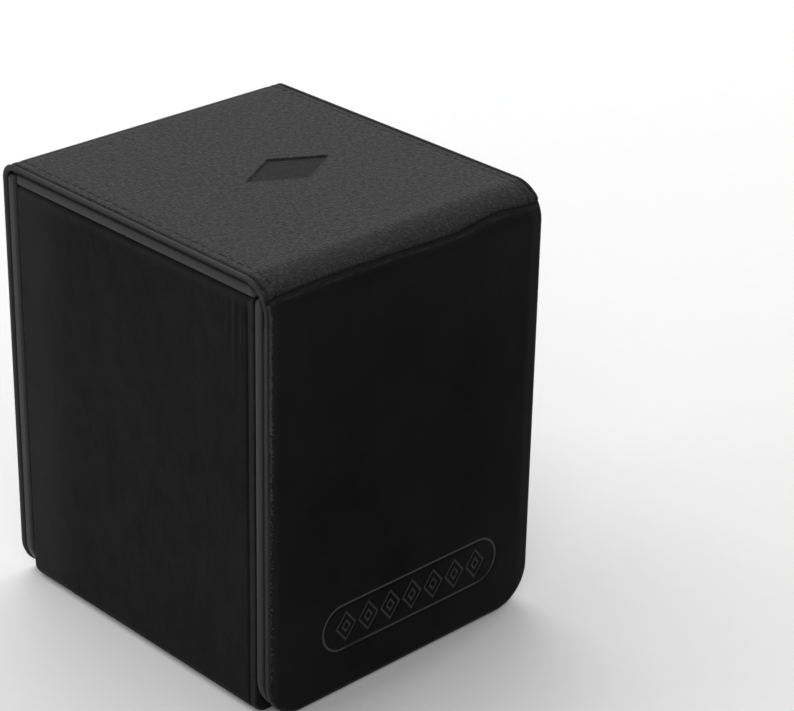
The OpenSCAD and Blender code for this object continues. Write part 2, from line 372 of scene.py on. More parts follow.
def face_grid(half, ends, corners, inset, columns, rows, wave):
    """A face's points, x and s: its ends follow the rounded corners, and the first one follows wave too."""
    xs = face_columns(half, inset, max(r or 0.0 for r in corners), columns)
    low, high = (end + sign * (0 if r is None else inset) for end, sign, r in zip(ends, (1, -1), corners))
    rs = [r for r in rows if low + 1e-6 < r < high - 1e-6]
    X, S = np.meshgrid(xs, np.concatenate([[low], rs, [high]]), indexing="ij")
    for end, sign, radius, move in ((low, 1, corners[0], wave), (high, -1, corners[1], None)):
        if radius is None:
            continue
        reach = max(radius - inset, 0)
        over = np.clip(np.abs(X) - (half - radius), 0, reach)
        back = reach - np.sqrt(np.maximum(reach ** 2 - over ** 2, 0)) + (move(X) if move else 0)
        zone = max(radius, inset) + 1.0
        S = S + sign * np.clip((end + sign * zone - S) * sign / zone, 0, 1) * back
    return X, S


def outward(bx, at_ends, half, corners, inset):
    """The edge points' directions out of the panel; at_ends says which of them lie at each end."""
    at_side = np.abs(np.abs(bx) - (half - inset)) < 1e-6
    nx, ns = np.where(at_side, np.sign(bx), 0.0), np.zeros(len(bx))
    for at_end, sign, radius in zip(at_ends, (-1, 1), corners):
        if radius is None:
            continue
        over = np.clip((np.abs(bx) - (half - radius)) / (radius - inset), 0, 1)
        nx = np.where(at_end & ~at_side, np.sign(bx) * over, nx)
        ns = np.where(at_end & ~at_side, sign * np.sqrt(1 - over ** 2), ns)
    return nx, ns


def strips(ring_ids, chains, closed):
    """The quads between each ring and the next one, chain by chain."""
    made = []
    ends = np.cumsum([0] + [len(c) for c in chains])
    for inner, outer in zip(ring_ids[:-1], ring_ids[1:]):
        for i, j in zip(ends[:-1], ends[1:]):
            a, d = inner[i:j], outer[i:j]
            quads = np.stack([a, np.roll(a, -1), np.roll(d, -1), d], -1)
            made.append(quads if closed else quads[:-1])
    return made


def looks_inwards(place, x, s):
    """Whether a face that runs anticlockwise in x and s faces into the panel."""
    here = place(x, s, 0.0)
    facing = np.cross(place(x + 0.01, s, 0.0) - here, place(x, s + 0.01, 0.0) - here)
    return facing @ (place(x, s, 1.0) - here) > 0


def panel(name, place, half, ends, corners, columns, rows, edge, materials, relief=None,
          wave=None, thickness=0.45, edge_material=0, pressed=None):
    """A skin over a panel: a face grid with rounded corners, and rings that carry it round its edges.

    place(x, s, d) turns across, along and depth into a point. ends are the outline's two ends
    along s, and corners their corner radii, None for an end that is left open.
    edge(x, s, nx, ns) gives the rings as pairs of inset and depth, the first on the face; nx and ns
    point out of the panel. relief(x, s) is added to the face's depth, and wave(x) moves its first end.
    pressed says how far each point is pressed, or carries painted shade or painted highlight, for its
    material:
    (x, s) on the face, and (x, s, nx, share of the way down) on the rings.
    """
    inset = float(np.max(edge(np.zeros(1), np.full(1, np.mean(ends)), np.ones(1), np.zeros(1))[0][0]))
    X, S = face_grid(half, ends, corners, inset, columns, rows, wave)
    n, m = X.shape
    depth = edge(X, S, np.zeros_like(X), np.zeros_like(X))[0][1] + np.zeros_like(X)
    if relief is not None:
        depth = depth + relief(X, S)
    points = [place(X, S, depth).reshape(-1, 3)]
    uv = [np.stack([X, S], -1).reshape(-1, 2)]
    cell = np.arange(n * m).reshape(n, m)
    face = np.stack([cell[:-1, :-1], cell[1:, :-1], cell[1:, 1:], cell[:-1, 1:]], -1).reshape(-1, 4)
    chains = boundary(cell, corners)
    loop = np.concatenate(chains)
    bx, bs, bd = X.ravel()[loop], S.ravel()[loop], depth.ravel()[loop]
    nx, ns = outward(bx, (loop % m == 0, loop % m == m - 1), half, corners, inset)
    rings = edge(bx, bs, nx, ns)
    fade = 1.3  # the relief is gone this far below the face
    previous, travelled = points[0][loop], np.zeros(len(loop))
    ring_ids = [loop]
    count = n * m
    for ring_inset, ring_depth in rings[1:]:
        out = inset - ring_inset
        d = ring_depth + (bd - rings[0][1]) * (1 - smoothstep(ring_depth - rings[0][1], 0, fade))
        p = place(bx + nx * out, bs + ns * out, d)
        travelled = travelled + np.linalg.norm(p - previous, axis=-1)
        previous = p
        points.append(p)
        uv.append(np.stack([bx + nx * travelled, bs + ns * travelled], -1))
        ring_ids.append(np.arange(count, count + len(loop)))
        count += len(loop)
    faces = np.concatenate([face, *strips(ring_ids, chains, None not in corners)])
    if looks_inwards(place, np.mean(X), np.mean(ends)):
        faces = faces[:, ::-1]
    face_material = np.where(np.arange(len(faces)) < len(face), 0, edge_material)
    made = object_from(name, np.concatenate(points), faces, np.concatenate(uv), materials, face_material)
    if pressed is not None:
        values = np.zeros(count, np.float32)
        values[:n * m] = pressed[0](X, S).ravel() if pressed[0] else 0
        for k, ids in enumerate(ring_ids[1:]):
            values[ids] = pressed[1](bx, bs, nx, k / (len(ring_ids) - 2))
        made.data.attributes.new("pressed", "FLOAT", "POINT").data.foreach_set("value", values)
    return solidify(made, thickness)


def turned(p, angle):
    """A point of the plane turned about the origin."""
    return np.array([p[0] * math.cos(angle) - p[1] * math.sin(angle),
                     p[0] * math.sin(angle) + p[1] * math.cos(angle)])


def outline(corners, radii, inset):
    """A closed outline, anticlockwise, with rounded corners, moved in by inset."""
    bends = 5
    base = np.array(corners, float)
    count = len(base)
    ahead = np.roll(base, -1, 0) - base
    ahead /= np.linalg.norm(ahead, axis=1)[:, None]
    behind = np.roll(ahead, 1, 0)
    made = []
    for i in range(count):
        u, v, p = behind[i], ahead[i], base[i]
        left_u, left_v = np.array([-u[1], u[0]]), np.array([-v[1], v[0]])
        turn = u[0] * v[1] - u[1] * v[0]
        facing = 1 + u @ v
        moved = p + inset * (left_u + left_v) / facing
        radius = max(radii[i] - inset, 0.02) if turn > 0 else radii[i] + inset
        half_turn = math.acos(max(-1, min(1, u @ v))) / 2
        run = radius * math.tan(half_turn)
        centre = moved - u * run + (left_u if turn > 0 else -left_u) * radius
        start = moved - u * run - centre
        angles = np.linspace(0, 2 * half_turn, bends) * (1 if turn > 0 else -1)
        made += [centre + turned(start, a) for a in angles]
    return np.array(made)


def bar(name, corners, radii, low, high, edge, material):
    """A solid with a rounded outline in Y and Z, from low to high along X, its ends rounded by edge."""
    sweep = arc(0, 90, 5)
    stations = [(edge * (1 - math.sin(t)), low + edge * (1 - math.cos(t))) for t in sweep]
    stations += [(edge * (1 - math.cos(t)), high - edge * (1 - math.sin(t))) for t in sweep]
    rings = [outline(corners, radii, inset) for inset, _ in stations]
    size = len(rings[0])
    points = np.concatenate([np.column_stack([np.full(size, x), r]) for r, (_, x) in zip(rings, stations)])
    widest = rings[len(sweep) - 1]
    closed = np.vstack([widest, widest[:1]])
    run = np.concatenate([[0], np.cumsum(np.linalg.norm(np.diff(closed, axis=0), axis=1))])[:-1]
    uv = np.concatenate([np.stack([run, np.full(size, x)], -1) for _, x in stations])
    faces = []
    for k in range(len(stations) - 1):
        for i in range(size):
            j = (i + 1) % size
            faces.append([k * size + i, k * size + j, (k + 1) * size + j, (k + 1) * size + i])
    flat = []
    for k, order in ((0, -1), (len(stations) - 1, 1)):
        flat.append(len(faces))
        faces.append(list((k * size + np.arange(size))[::order]))
    return facing_out(object_from(name, points, faces, uv, [material], None, flat))


def facing_out(made):
    """Turns a closed mesh's faces outwards."""
    shape = bmesh.new()
    shape.from_mesh(made.data)
    if shape.calc_volume(signed=True) < 0:
        made.data.flip_normals()
    shape.free()
    return made


def finish_piece(made, nodes, body=None, bend=None):
    """Ties a piece to its body, or, given bend, only bakes its placement into its mesh; hides the CAD nodes
    it stands for.
    """
    if bend:
        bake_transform(made)
    else:
        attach(made, body)
    if nodes:
        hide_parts(*nodes)


# ---------------------------------------------------------------- the cover's unrolled sheet

half_w = span("lid_wrap")[1][0]
front_y, back_y, top_z = span("flap_wrap")[0][1], span("back_wrap")[1][1], span("lid_wrap")[1][2]
fold_r = top_z - span("fold_wrap")[0][2]
spine_r = top_z - span("spine_wrap")[0][2]
fold_at = (front_y + fold_r, top_z - fold_r)
spine_at = (back_y - spine_r, top_z - spine_r)
lift = span("flap_wrap")[0][2]
LID_END = spine_at[0] - fold_at[0]
FLAP_START = LID_END + fold_r * math.pi / 2
FLAP_END = FLAP_START + fold_at[1] - lift
BACK_START = -spine_r * math.pi / 2
BACK_END = BACK_START - (spine_at[1] - lift)
FOLD_BEND = ("lid", "flap", (0, fold_at[0], top_z), (0, front_y, fold_at[1]))
SPINE_BEND = ("tub", "lid", (0, back_y, spine_at[1]), (0, spine_at[0], top_z))


def cover(x, s, d):
    """A point of the cover, d below its outside.

    s runs forward from the lid's back edge, over the fold and down the flap, and backwards over the
    spine and down the back panel.
    """
    x, s, d = np.broadcast_arrays(np.asarray(x, float), s, d)
    fold = np.clip((s - LID_END) / fold_r, 0, math.pi / 2)
    spine = np.clip(-s / spine_r, 0, math.pi / 2)
    y = spine_at[0] - s
    y = np.where(s > LID_END, fold_at[0] - (fold_r - d) * np.sin(fold), y)
    y = np.where(s < 0, spine_at[0] + (spine_r - d) * np.sin(spine), y)
    z = top_z - d
    z = np.where(s > LID_END, fold_at[1] + (fold_r - d) * np.cos(fold), z)
    z = np.where(s < 0, spine_at[1] + (spine_r - d) * np.cos(spine), z)
    z = np.where(s > FLAP_START, fold_at[1] - (s - FLAP_START), z)
    z = np.where(s < BACK_START, spine_at[1] - (BACK_START - s), z)
    return np.stack([x, y, z], -1)


lid_mid = span("lid_outer_board")[0][2]
flap_mid = span("flap_outer_board")[1][1]
back_mid = span("back_outer_board")[0][1]
LID_T, FLAP_T, BACK_T = top_z - lid_mid, flap_mid - front_y, back_y - back_mid

# where the leatherette meets the flap's nap, across the fold
CREASE_MEAN = 89.9
CREASE_X = [-42, -31, -21, -11, -5, 6.6, 16, 25, 30.5, 36, 42]
CREASE_S = [89.9, 89.75, 89.7, 89.9, 89.75, 90.35, 90.45, 89.6, 89.4, 90.2, 89.9]


def crease(x):
    """Where along the sheet the leatherette stops and the nap begins."""
    reach = 7  # samples on each side that the smoothing takes in
    nodes = np.linspace(-42, 42, 169)
    kernel = np.hanning(2 * reach + 1)
    padded = np.pad(np.interp(nodes, CREASE_X, CREASE_S), reach, mode="edge")
    smooth = np.convolve(padded, kernel / kernel.sum(), mode="valid")
    return np.interp(x, nodes, smooth)


def cover_thickness(s):
    """Depth of the outer layer's edge, along the sheet."""
    s = np.asarray(s, float)
    t = LID_T + (FLAP_T - LID_T) * smoothstep(s, FLAP_START - 6, FLAP_START + 5)
    return np.where(s < 0, BACK_T, t)


def cover_edge(x, s, nx, ns):
    """Ring profile: round at the outside, straight, and a wider round where the layer meets the next one."""
    top, bottom = 0.45, 0.8
    depth = cover_thickness(s)
    scale = np.minimum(1, depth / (top + bottom + 0.05))
    rings = [(top * (1 - math.cos(t)), scale * top * (1 - math.sin(t))) for t in arc(90, 0, 7)]
    rings += [(bottom * (1 - math.cos(t)), depth - scale * bottom * (1 - math.sin(t))) for t in arc(0, 90, 4)]
    return rings


def lozenge(x, y, length, width):
    """Signed distance, roughly in millimetres, to a diamond; negative inside."""
    a, b = length / 2, width / 2
    return (np.abs(x) / a + np.abs(y) / b - 1) * a * b / math.hypot(a, b)


def emblem(x, s):
    """Signed distance to the diamond pressed into the lid."""
    return lozenge(x - 5, spine_at[0] - s, 26, 15)


BEAD = 1.15  # from the cover's side edges to the groove that leaves a bead there


def edge_groove(x):
    """Beside the cover's side edges: a thin groove, and a wider pressed line that the stitches lie in."""
    inside = half_w - np.abs(x)
    return 0.34 * hump(inside - BEAD, 0.4) + 0.1 * hump(inside - (half_w - STITCH_AWAY), 0.6)


def crevice_shade(x, s, nx, share):
    """Painted shade where the edge meets the next layer, and a painted shadow beside the flap's nap."""
    shadow_beside_nap = (1 - smoothstep(share, 0.25, 0.5)) * (s > FLAP_START - 2)
    return 0.97 * smoothstep(share, 0.5, 0.78) + 0.6 * shadow_beside_nap


def leather_relief(x, s):
    """Depth of the leatherette below the cover's outside."""
    diamond = emblem(x, s)
    mark = 0.42 * (1 - smoothstep(diamond, -0.5, 0.05)) - 0.06 * hump(diamond - 0.3, 0.3)
    line = crease(x)
    tuck = smoothstep(s, line - 0.6, line + 0.1) * 0.45
    shoulder = -0.05 * hump(s - line + 1.6, 0.9)
    ripples = 0.02 * np.sin(x * 0.9 + 2 * np.sin(x * 0.23)) * hump(s - line + 1.4, 0.8)
    return mark + edge_groove(x) * (s < LID_END + 6) + tuck + (s < line + 2) * (shoulder + ripples)


def leather_pressed(x, s):
    """Full in the pressed diamond, and partly in the edge groove and from the fold on, where it smooths the
    stretched grain and darkens it as painted shade.
    """
    # painted shade from the fold on, where the cover turns away from the top light; it also smooths the grain
    fold_smoothing_and_shade = 0.4 * smoothstep(s, LID_END - 0.5, LID_END + 3)
    groove = 0.7 * hump(half_w - np.abs(x) - BEAD, 0.42)
    return np.clip(np.maximum(1 - smoothstep(emblem(x, s), -0.6, 0.0), fold_smoothing_and_shade + groove), 0, 1)


SPLIT = 0.25  # the lid's and the back's leatherette meet here, just past the spine's bend
FLAP_CORNER, BACK_CORNER = 10.0, 8.5
rows = steps(SPLIT, (33.8, 1.6), (52.6, 0.24), (LID_END, 1.6), (88.6, 0.5), (91.2, 0.15),
             (FLAP_START, 0.5), (FLAP_END, 2.5))
columns = steps(-41.5, (-40.5, 0.13), (-37, 0.35), (-9, 0.9), (19, 0.26), (37, 0.9), (40.5, 0.35),
                (41.5, 0.13))
leather = panel("cover_leather", cover, half_w, (SPLIT, FLAP_END), (None, FLAP_CORNER), columns, rows,
                cover_edge, [LEATHER, EDGE], leather_relief, thickness=0.4, edge_material=1,
                pressed=(leather_pressed, crevice_shade))
finish_piece(leather, ["lid_wrap", "fold_wrap"], bend=FOLD_BEND)

rows = steps(BACK_END, (BACK_START - 1, 2.5), (BACK_START, 0.5), (0, 0.4), (SPLIT, 0.25))
columns = steps(-41.5, (-40.5, 0.13), (-37, 0.35), (37, 2.0), (40.5, 0.35), (41.5, 0.13))
# the back's edges carry a fainter painted shade where they meet the next layer
back_leather = panel("back_leather", cover, half_w, (BACK_END, SPLIT), (BACK_CORNER, None), columns, rows,
                     cover_edge, [LEATHER, EDGE], lambda x, s: edge_groove(x), thickness=0.4, edge_material=1,
                     pressed=(None, lambda *at: 0.35 * crevice_shade(*at)))
finish_piece(back_leather, ["back_wrap", "spine_wrap"], bend=SPINE_BEND)

# ---------------------------------------------------------------- the flap's napped front

NAP_IN = 0.25  # the nap stops this far inside the flap's side edges
OUTLINE_L, OUTLINE_H = 57, 12.6
MARK_PITCH = 7.0
MARKS_EACH_SIDE = 3  # of the middle one
outline_mid = (2.5, FLAP_START + fold_at[1] - 17.3)


def stadium(x, y, length, height):
    """Signed distance to an outline with round ends; negative inside."""
    r = height / 2
    return np.hypot(np.maximum(np.abs(x) - (length / 2 - r), 0), y) - r


def marks(x, s):
    """Distance to the middle of the pressed outline's line, and to that of the lozenges' lines."""
    u, v = x - outline_mid[0], s - outline_mid[1]
    k = np.clip(np.round(u / MARK_PITCH), -MARKS_EACH_SIDE, MARKS_EACH_SIDE)
    shape = lozenge(u - k * MARK_PITCH, v, 6.6, 8.4)
    ring = np.abs(stadium(u, v, OUTLINE_L, OUTLINE_H) + 0.45)
    return ring, np.minimum(np.abs(shape + 0.3), np.abs(shape + 1.7))


def nap_relief(x, s):
    """Depth of the nap: the pressed marks, a small fold below the crease, rounded edges and a slight sway."""
    ring, lozenges = marks(x, s)
    groove = 0.4 * (1 - smoothstep(ring, 0.1, 0.7)) + 0.36 * (1 - smoothstep(lozenges, 0.05, 0.5))
    ridge = s - crease(x) - 1.1 - 0.35 * np.sin(x * 0.11 + 1)
    fold = -0.09 * hump(ridge, 0.35) + 0.10 * hump(ridge + 0.75, 0.35)
    sway = 0.05 * np.sin(x * 0.13 + 0.6) * np.sin(s * 0.09) + 0.03 * np.sin(x * 0.31 + s * 0.17)
    inside = np.minimum(half_w - np.abs(x), FLAP_END - s)
    crown = 0.3 * (1 - smoothstep(inside, 1.2, 4.5))
    return groove + fold + crown + sway * smoothstep(inside, 2, 8)


def nap_lines_and_painted_highlights(x, s):
    """Bright on the pressed marks' lines, partly as painted highlight; a painted highlight a little below the
    crease, painted sheen towards the side edges, and lighter towards the flap's edges all round.
    """
    ring, lozenges = marks(x, s)
    # the pressed lines are real marks; their lift in colour is partly painted highlight
    lines = np.maximum(1 - smoothstep(ring, 0.0, 0.32), 0.85 * (1 - smoothstep(lozenges, 0.0, 0.27)))
    below = s - crease(x)
    broken = smoothstep(np.sin(x * 0.5) + np.sin(x * 1.7), -0.3, 0.3)
    # painted highlight on the rounded ridge just below the crease
    ridge = 0.06 * hump(below - 1.0, 0.8) + 0.16 * hump(below - 1.2, 0.14) * broken
    speckle = 0.5 + 0.5 * np.sin(s * 2.3 + 3 * np.sin(x * 2.9)) * np.sin(s * 0.9 + x * 1.7)
    # painted sheen on the nap's rounded side edges, broken by speckle
    band = (0.03 + 0.05 * speckle) * (1 - smoothstep(half_w - np.abs(x), 1.6, 3.6))
    middle = (FLAP_START + FLAP_END) / 2
    away = np.hypot(x / half_w, (s - middle) / (FLAP_END - middle))
    # only lighter away from the flap's middle, towards its edges
    brushed = 0.042 * smoothstep(away, 0.55, 1.3)
    return np.clip(0.95 * lines + ridge + 0.8 * band + brushed, 0, 1)


def nap_frayed_edge_highlight(x, s, nx, share):
    """The nap's cut edge: frayed, and lifted by a painted highlight beside the flap's left edge, the lit
    side, most of all near the fold.
    """
    near_fold = smoothstep(s, 91, 95) * (1 - smoothstep(s, 105, 140))
    # painted highlight on the left only, the side the light comes from
    left = np.clip(-nx, 0, 1) * (0.08 + 0.9 * near_fold)
    broken = np.clip(0.6 + 0.35 * np.sin(s * 3.1) + 0.35 * np.sin(s * 1.27 + 1), 0.1, 1)
    return np.clip(left * broken * hump(share - 0.26, 0.2) + 0.05, 0, 1)


def soft_edge(width, drop):
    """A fabric's cut edge, rounded down by drop over width."""
    def edge(x, s, nx, ns):
        return [(width * (1 - math.cos(t)), drop * (1 - math.sin(t))) for t in arc(90, 0, 6)]
    return edge


def nap_edge(x, s, nx, ns):
    """Rounded down at the flap's sides and bottom, and a small round at the crease."""
    top = np.clip(-ns, 0, 1)
    return [((1.0 - 0.5 * top) * (1 - math.cos(t)) + 0.5 * top, (0.7 - 0.2 * top) * (1 - math.sin(t)))
            for t in arc(90, 0, 8)]


nap_ends = (CREASE_MEAN - 0.55, FLAP_END - 0.35)
rows = steps(90.1, (93.5, 0.16), (outline_mid[1] - 7.2, 2.0), (outline_mid[1] + 7.2, 0.2), (FLAP_END, 0.9))
columns = steps(-40.5, (-37, 0.5), (outline_mid[0] - 29.5, 1.0), (outline_mid[0] + 29.5, 0.25),
                (37, 1.0), (40.5, 0.5))
flap_nap = panel("flap_nap", cover, half_w - NAP_IN, nap_ends, (1.5, FLAP_CORNER - NAP_IN), columns, rows,
                 nap_edge, [FLAP_NAP], nap_relief, wave=lambda x: crease(x) - CREASE_MEAN, thickness=0.3,
                 pressed=(nap_lines_and_painted_highlights, nap_frayed_edge_highlight))
finish_piece(flap_nap, ["flap_wrap"], bend=FOLD_BEND)

random = np.random.default_rng(5)


def fuzz(name, x, s, d, length, lean, material):
    """Short loose fibres that stand off a nap's edge, a thin triangle each; lean is their mean direction."""
    count = len(x)
    thick = 0.075
    way = np.array(lean) + random.normal(0, 0.75, (count, 3)) * np.array([1, 1, 0.4])
    way /= np.linalg.norm(way, axis=1)[:, None]
    way *= (length * random.uniform(0.4, 1, count))[:, None]
    across = np.stack([way[:, 1], -way[:, 0]], -1)
    across *= (thick / np.maximum(np.linalg.norm(across, axis=1), 1e-6))[:, None]
    root = np.stack([x, s], -1)
    points = np.stack([cover(*(root + across).T, d), cover(*(root - across).T, d),
                       cover(x + way[:, 0], s + way[:, 1], d + way[:, 2])], 1).reshape(-1, 3)
    uv = np.repeat(root, 3, 0)
    made = object_from(name, points, np.arange(3 * count).reshape(-1, 3), uv, [material])
    # each fibre's colour is lifted as a painted highlight of fibres catching the light
    made.data.attributes.new("pressed", "FLOAT", "POINT").data.foreach_set(
        "value", np.repeat(random.uniform(0.5, 1.0, count), 3).astype(np.float32))
    return made


NEAR_FOLD, ALL_ALONG = 700, 260  # numbers of fibres
fibres = NEAR_FOLD + ALL_ALONG
frayed_s = np.concatenate([91.2 + 50 * random.random(NEAR_FOLD) ** 1.7, 95 + 90 * random.random(ALL_ALONG)])
frayed_x = 0.8 - half_w + 0.14 * random.normal(0, 1, fibres)
frayed = fuzz("flap_frayed_edge", frayed_x, frayed_s, np.full(fibres, 0.33), 0.8, (-0.1, 0.3, -0.4), FLAP_NAP)
finish_piece(frayed, [], bend=FOLD_BEND)

# ---------------------------------------------------------------- linings that bend


def band(name, s, half, top, bottom, material):
    """A strip of lining along the sheet's stations s, with a rounded section from top to bottom deep."""
    middle, r = (top + bottom) / 2, (bottom - top) / 2
    underside = 90.0  # moves the grain of the strip's far face away from the near one's
    section = [(-half, t) for t in arc(-90, 90, 5)] + [(half, t) for t in arc(90, 270, 5)]
    points, uv = [], []
    for j in range(len(s)):
        ring = [(e + math.copysign(abs(math.cos(t)) * r[j], e), middle[j] - math.sin(t) * r[j])
                for e, t in section]
        x, d = np.array(ring).T
        points.append(cover(x, s[j], d))
        uv.append(np.stack([x + underside * (d > middle[j]), np.full(len(x), s[j])], -1))
    size = len(section)
    faces = [[j * size + i, j * size + (i + 1) % size, (j + 1) * size + (i + 1) % size, (j + 1) * size + i]
             for j in range(len(s) - 1) for i in range(size)]
    faces += [list(range(size))[::-1], list((len(s) - 1) * size + np.arange(size))]
    made = object_from(name, np.concatenate(points), faces, np.concatenate(uv), [material], None,
                       [len(faces) - 2, len(faces) - 1])
    return facing_out(made)


BAND_IN = 0.9  # the strips stop this far inside the cover's side edges
stations = steps(LID_END, (FLAP_START, 0.6))
sunk = 0.38 * smoothstep(stations, 88, 90)
fold_band = band("fold_lining_band", stations, half_w - BAND_IN, 0.5 + sunk, 0.95 + sunk, EDGE)
finish_piece(fold_band, ["fold_lining"], bend=FOLD_BEND)
stations = steps(BACK_START, (0, 0.4), (1.4, 0.35))
sunk = smoothstep(stations, -1.6, -0.1)
spine_band = band("spine_lining_band", stations, half_w - BAND_IN, 0.5 + 1.13 * sunk, 1.0 + 0.95 * sunk, EDGE)
finish_piece(spine_band, ["spine_lining"], bend=SPINE_BEND)

# ---------------------------------------------------------------- the cover's inner layers

lid_low, lid_high = span("lid_lining")
flap_low, flap_high = span("flap_lining")
back_low, back_high = span("back_lining")
inner_half = lid_high[0]
INNER_T = 2.9
MITRE_GAP = 0.21


def inner_edge(mitre):
    """Ring profile of an inner layer: rounded like a bolster, or cut to a mitre at the end with that sign."""
    thickness, near, far = INNER_T, 0.85, 0.7
    side = [(near * (1 - math.cos(t)), (near + 0.05) * (1 - math.sin(t))) for t in arc(90, 0, 7)]
    side += [(far * (1 - math.cos(t)), thickness - far * (1 - math.sin(t))) for t in arc(0, 90, 4)]
    cut = [(0.85, 0), (0.35, 0), (0.1, 0.03), (-0.1, 0.18), (-0.6, 0.65), (-1.1, 1.12), (-1.32, 1.36),
           (-1.38, 1.55), (-1.2, 1.78), (-0.3, 2.3), (1.13, thickness)]

    def edge(x, s, nx, ns):
        share = np.clip(mitre * ns, 0, 1) ** 2
        return [(a[0] * (1 - share) + b[0] * share, a[1] * (1 - share) + b[1] * share)
                for a, b in zip(side, cut)]
    return edge


def inner_crevice_shade(x, s, nx, share):
    """Painted shade where the layer meets the outer one, and where it meets the tub."""
    return 0.8 * (1 - smoothstep(share, 0.0, 0.35)) + 0.95 * smoothstep(share, 0.55, 0.95)


def back_crevice_shade(x, s, nx, share):
    """Slight painted shade where the back's inner layer meets the tub."""
    return 0.2 * (1 - smoothstep(share, 0, 0.25))


def inner_skin(name, place, length, corners, rows, mitre, shade):
    """One inner layer's skin; place(x, s, d) as for panel()."""
    def spread(x, s, d):
        return np.stack(place(*np.broadcast_arrays(np.asarray(x, float), s, d)), -1)
    return panel(name, spread, inner_half, (0, length), corners, steps(-41, (41, 2.5)), rows,
                 inner_edge(mitre), [EDGE], thickness=0.5, pressed=(None, shade))


INNER_CORNER = 1.2  # beside the hinges
lid_inner = inner_skin("lid_inner_skin", lambda x, s, d: (x, lid_high[1] - s, lid_low[2] + d),
                       lid_high[1] - flap_high[1] - MITRE_GAP, (INNER_CORNER, INNER_CORNER),
                       steps(0, (78, 2.5), (82, 0.5), (84, 0.3)), 1, inner_crevice_shade)
finish_piece(lid_inner, ["lid_lining"],
             bend=("lid", "flap", (0, fold_at[0] - 2.05, 100), (0, fold_at[0] - 7.6, 100)))
flap_top = lid_low[2] - MITRE_GAP
flap_inner = inner_skin("flap_inner_skin", lambda x, s, d: (x, flap_high[1] - d, flap_top - s),
                        flap_top - flap_low[2], (INNER_CORNER, 9.8), steps(0, (6, 0.5), (110, 2.5)),
                        -1, inner_crevice_shade)
finish_piece(flap_inner, ["flap_lining"],
             bend=("lid", "flap", (0, -40, fold_at[1] + 10.09), (0, -40, fold_at[1] + 0.09)))
back_inner = inner_skin("back_inner_skin", lambda x, s, d: (x, back_low[1] + d, back_high[2] - s),
                        back_high[2] - back_low[2], (INNER_CORNER, 8.3), steps(0, (110, 2.5)),
                        0, back_crevice_shade)
finish_piece(back_inner, ["back_lining"], body="tub")

# ---------------------------------------------------------------- tub


class Track:
    """A path in a plane with rounded corners."""

    def __init__(self, corners, radii):
        bends = 9
        base = np.array(corners, float)
        ahead = np.diff(base, axis=0)
        ahead /= np.linalg.norm(ahead, axis=1)[:, None]
        line, facing = [base[0]], [np.array([ahead[0][1], -ahead[0][0]])]
        for i in range(1, len(base) - 1):
            u, v = ahead[i - 1], ahead[i]
            turn = math.copysign(1, u[0] * v[1] - u[1] * v[0])
            half_turn = math.acos(max(-1, min(1, u @ v))) / 2
            run = radii[i] * math.tan(half_turn)
            centre = base[i] - u * run + turn * radii[i] * np.array([-u[1], u[0]])
            start = base[i] - u * run - centre
            for a in np.linspace(0, 2 * half_turn, bends) * turn:
                p = turned(start, a)
                line.append(centre + p)
                facing.append(turn * p / radii[i])
        line.append(base[-1])
        facing.append(np.array([ahead[-1][1], -ahead[-1][0]]))
        self.line, self.facing = np.array(line), np.array(facing)
        self.run = np.concatenate([[0], np.cumsum(np.linalg.norm(np.diff(self.line, axis=0), axis=1))])
        self.length = self.run[-1]

    def at(self, v, d):
        """The point v along the path and d to its left."""
        return tuple(np.interp(v, self.run, self.line[:, k]) - d * np.interp(v, self.run, self.facing[:, k])
                     for k in (0, 1))

    def rows(self, spacing):
        """Stations along the path: every corner point, and others at most about spacing apart."""
        made = [self.run[0]]
        for end in self.run[1:]:
            made += list(steps(made[-1], (end, spacing))[1:])
        return np.array(made)


tub_low, tub_high = span("tub_side_wrap")
wall_x = -span("left_liner")[0][0]
tub_mid_y, tub_half_y = (tub_low[1] + tub_high[1]) / 2, (tub_high[1] - tub_low[1]) / 2
TURN_IN = 0.6  # how far the fabric runs down inside the rim
rim_run = TURN_IN + tub_high[0] - wall_x
rim_z = tub_high[2]
# up inside the left rim, over it, down the left side, under the base and up the right side, so that the
# outside lies to the right
u_shape = Track([(-wall_x, rim_z - TURN_IN), (-wall_x, rim_z), (tub_low[0], rim_z), (tub_low[0], 0),
                 (tub_high[0], 0), (tub_high[0], rim_z), (wall_x, rim_z), (wall_x, rim_z - TURN_IN)],
                [0, 0.35, 1.3, 3.5, 3.5, 1.3, 0.35, 0])


def wrap_place(u, v, d):
    """u runs back from the middle of the tub's depth, v along the U, and d inwards."""
    u, v, d = np.broadcast_arrays(np.asarray(u, float), v, d)
    x, z = u_shape.at(v, d)
    return np.stack([x, u + tub_mid_y, z], -1)


def wrap_edge(x, s, nx, ns):
    """Rounded at the tub's front edges, and less at the rim and at the back."""
    radius = 1.2
    from_rim = np.minimum(s, u_shape.length - s)
    share = 0.2 + 0.8 * smoothstep(from_rim, rim_run, rim_run + 2.5)
    drop = share * (radius - 0.95 * np.clip(nx, 0, 1))
    return [(radius * (1 - math.cos(t)), drop * (1 - math.sin(t))) for t in arc(90, 0, 8)]


def side_yz(u, v):
    """Where a point of the fabric lies on the tub's sides."""
    return u + tub_mid_y, rim_z + rim_run - np.minimum(v, u_shape.length - v)


def side_relief(u, v):
    """A bead's groove and small pleats near the front edge, and a slight unevenness, below the rim."""
    y, z = side_yz(u, v)
    bead = 0.28 * hump(y + 39.2, 0.4)
    pleats = 0.1 * np.sin(y * 2.6 + 0.08 * z) * smoothstep(z, 84, 99) * hump(y + 35.5, 2.6)
    return (bead + pleats + 0.04 * np.sin(y * 0.21 + 1) * np.sin(z * 0.13)) * (z < rim_z - 1.3)


# how much lighter the sides get towards the back, and the painted highlight on the front edges
LIGHTER_AT_BACK, FRONT_EDGE_HIGHLIGHT = 0.085, 0.15


